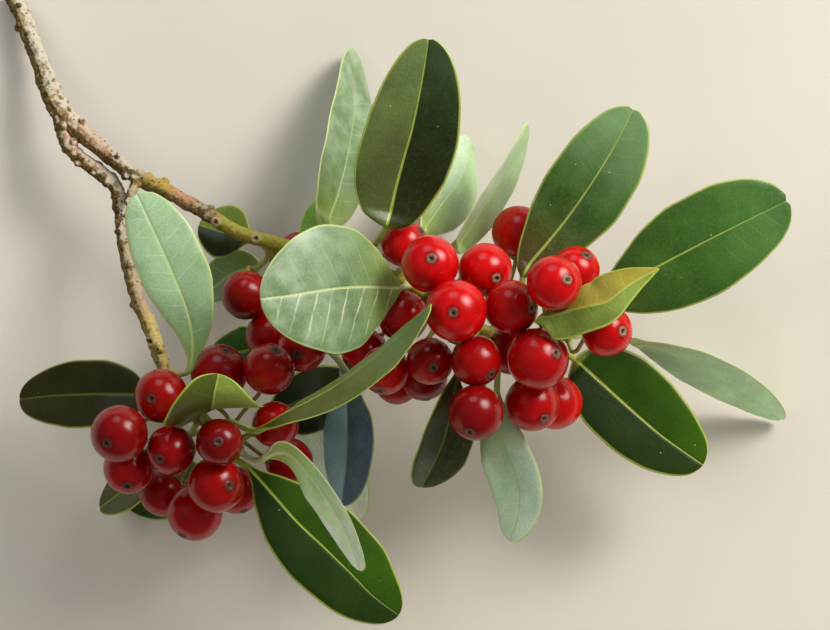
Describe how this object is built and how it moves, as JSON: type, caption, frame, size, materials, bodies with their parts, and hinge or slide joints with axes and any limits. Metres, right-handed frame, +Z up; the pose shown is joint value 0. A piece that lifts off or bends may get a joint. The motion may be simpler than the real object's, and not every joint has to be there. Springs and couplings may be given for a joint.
{
  "type": "canary island holly branch",
  "caption": "Cut, forked holly branch lying on a surface, with leathery oval leaves and clusters of round red berries on short stalks along two shoots.",
  "frame": {"origin": "on the surface the branch lies on, under the middle of its bounding box", "axes": "+Z up from the surface; +X along the branch's longest extent, from the cut end of the old wood towards the leafy tips; +Y across it, towards the cut end's side"},
  "size_m": [0.1364, 0.1088, 0.0499],
  "materials": {
    "bark": "rough",
    "leaf": "waxy",
    "berry": "gloss"
  },
  "bodies": {
    "root": {"branch": "bark", "upper_leaf_01": "leaf", "upper_leaf_02": "leaf", "upper_leaf_03": "leaf", "upper_leaf_04": "leaf", "upper_leaf_05": "leaf", "upper_leaf_06": "leaf", "upper_leaf_07": "leaf", "upper_leaf_08": "leaf", "upper_leaf_09": "leaf", "upper_leaf_10": "leaf", "upper_leaf_11": "leaf", "upper_leaf_12": "leaf", "lower_leaf_01": "leaf", "lower_leaf_02": "leaf", "lower_leaf_03": "leaf", "lower_leaf_04": "leaf", "lower_leaf_05": "leaf", "lower_leaf_06": "leaf", "lower_leaf_07": "leaf", "lower_leaf_08": "leaf", "lower_leaf_09": "leaf", "side_leaf_01": "leaf", "side_leaf_02": "leaf", "side_leaf_03": "leaf", "middle_leaf_01": "leaf", "middle_leaf_02": "leaf", "middle_leaf_03": "leaf", "upper_berry_01": "berry", "upper_berry_02": "berry", "upper_berry_03": "berry", "upper_berry_04": "berry", "upper_berry_05": "berry", "upper_berry_06": "berry", "upper_berry_07": "berry", "upper_berry_08": "berry", "upper_berry_09": "berry", "upper_berry_10": "berry", "upper_berry_11": "berry", "upper_berry_12": "berry", "upper_berry_13": "berry", "upper_berry_14": "berry", "upper_berry_15": "berry", "upper_berry_16": "berry", "upper_berry_17": "berry", "side_berry_01": "berry", "side_berry_02": "berry", "side_berry_03": "berry", "lower_berry_01": "berry", "lower_berry_02": "berry", "lower_berry_03": "berry", "lower_berry_04": "berry", "lower_berry_05": "berry", "lower_berry_06": "berry", "lower_berry_07": "berry", "lower_berry_08": "berry", "lower_berry_09": "berry", "lower_berry_10": "berry", "lower_berry_11": "berry", "lower_berry_12": "berry"}
  },
  "joints": []
}
